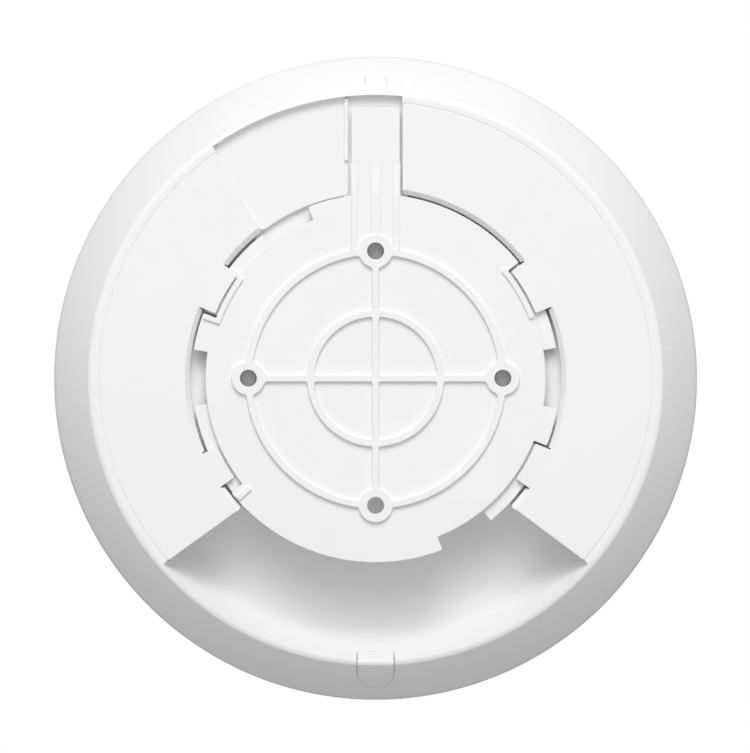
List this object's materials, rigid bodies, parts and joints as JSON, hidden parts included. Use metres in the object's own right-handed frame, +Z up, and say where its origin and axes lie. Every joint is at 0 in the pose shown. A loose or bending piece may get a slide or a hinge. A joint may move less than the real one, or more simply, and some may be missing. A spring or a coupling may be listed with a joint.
{
  "type": "ceiling wireless access point",
  "caption": "Round white ceiling wireless access point on its twist-lock mounting plate, with a cable recess and a locking tongue at the back.",
  "frame": {"origin": "centre of the mounting plate's ceiling face, on the crossing of its ribs", "axes": "+Z up into the ceiling, square to the plate's ceiling face; +Y from the centre towards the locking tongue; the cable recess is on the -Y side"},
  "size_m": [0.16, 0.16, 0.033],
  "materials": {
    "white_plastic": "fine satin texture",
    "cover_plastic": "fine satin texture",
    "light_guide": "translucent, frosted",
    "circuit_board": "solder mask",
    "shield_steel": "tinned sheet",
    "aluminium_plate": "plain rolled sheet",
    "thermal_pad": "soft, matt",
    "black_plastic": "moulded",
    "antenna_metal": "stamped sheet",
    "screw_steel": "zinc plated",
    "capacitor_can": "drawn can"
  },
  "bodies": {
    "mounting_plate": {"mounting_plate": "white_plastic"},
    "tongue": {"locking_tongue": "white_plastic"},
    "unit": {"rear_housing": "white_plastic", "front_cover": "cover_plastic", "centre_cap": "cover_plastic", "light_ring": "light_guide", "main_board": "circuit_board", "ethernet_jack": "shield_steel", "jack_insert": "black_plastic", "ethernet_transformer": "black_plastic", "power_inductor": "black_plastic", "capacitor_1": "capacitor_can", "capacitor_2": "capacitor_can", "processor_shield": "shield_steel", "radio_2g_shield": "shield_steel", "radio_5g_shield": "shield_steel", "processor_thermal_pad": "thermal_pad", "radio_2g_thermal_pad": "thermal_pad", "radio_5g_thermal_pad": "thermal_pad", "heat_spreader": "aluminium_plate", "reset_switch": "black_plastic", "antenna_1": "antenna_metal", "board_screw_1": "screw_steel", "status_led_1": "light_guide", "antenna_2": "antenna_metal", "board_screw_2": "screw_steel", "status_led_2": "light_guide", "antenna_3": "antenna_metal", "board_screw_3": "screw_steel", "status_led_3": "light_guide", "antenna_4": "antenna_metal", "board_screw_4": "screw_steel", "status_led_4": "light_guide"},
    "reset_button": {"reset_button": "black_plastic"},
    "cable_plug": {"cable_plug": "white_plastic"}
  },
  "joints": [
    {"name": "twist_lock", "type": "hinge", "parent": "mounting_plate", "child": "unit", "pos_m": [0, 0, 0], "axis": [0, 0, 1], "range_deg": [-30, 0], "deforming": ["locking_tongue"]},
    {"name": "tongue_release", "type": "hinge", "parent": "mounting_plate", "child": "tongue", "pos_m": [0, 0.0459, -0.00155], "axis": [1, 0, 0], "range_deg": [0, 2.4], "stiffness_Nm_per_rad": 0.6},
    {"name": "reset_press", "type": "slide", "parent": "unit", "child": "reset_button", "axis": [0, 1, 0], "range_m": [0, 0.0004], "stiffness_N_per_m": 300},
    {"name": "cable_plug_slide", "type": "slide", "parent": "unit", "child": "cable_plug", "axis": [0, 0, 1], "range_m": [0, 0.012]}
  ]
}
